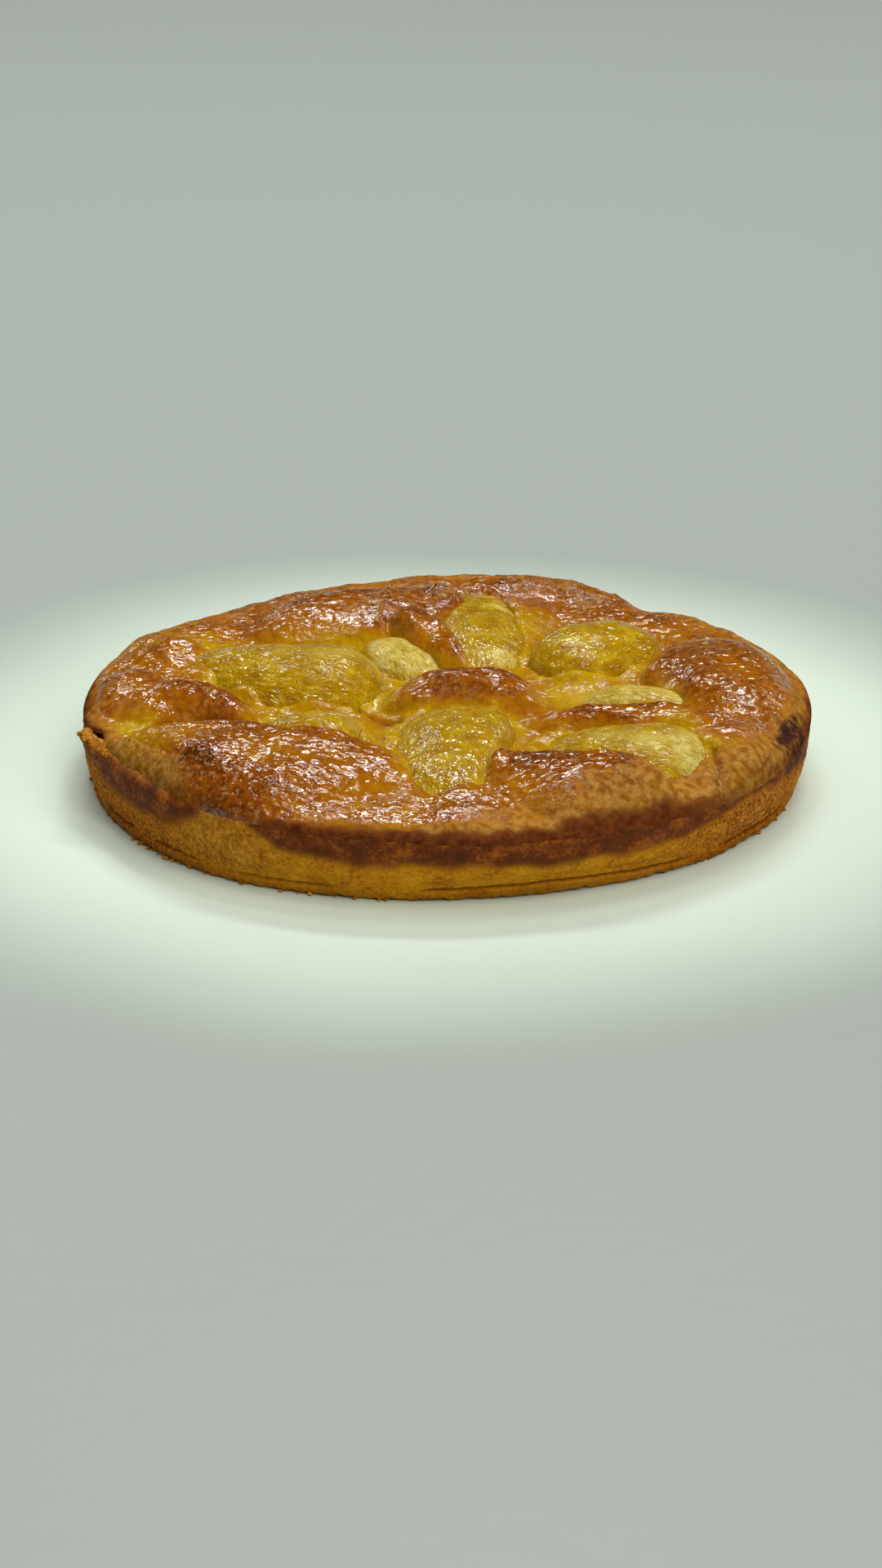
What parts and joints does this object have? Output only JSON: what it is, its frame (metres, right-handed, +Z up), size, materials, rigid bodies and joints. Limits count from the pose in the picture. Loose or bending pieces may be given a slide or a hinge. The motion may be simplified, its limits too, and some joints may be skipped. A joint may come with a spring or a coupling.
{
  "type": "pear tart",
  "caption": "Round whole tart: a low shortcrust case filled with puffed glazed sponge in which baked pear halves lie in a ring.",
  "frame": {"origin": "middle of the flat underside, level with the surface that the tart stands on", "axes": "+Z up out of the tart's top, -Y towards the side that the picture shows, +X to the right seen from there"},
  "size_m": [0.2412, 0.2367, 0.0411],
  "materials": {
    "crust": "sandy baked shortcrust, golden ochre below, dark brown along its top edge",
    "sponge": "browned sponge under a wrinkled clear glaze",
    "pear": "pale green-cream flesh under a wrinkled amber glaze"
  },
  "bodies": {
    "root": {"pastry_case": "crust", "sponge_filling": "sponge", "pear_half_front": "pear", "pear_half_front_right": "pear", "pear_half_right": "pear", "pear_half_back_right": "pear", "pear_half_back": "pear", "pear_half_back_left": "pear", "pear_half_left": "pear", "pear_half_front_left": "pear"}
  },
  "joints": []
}
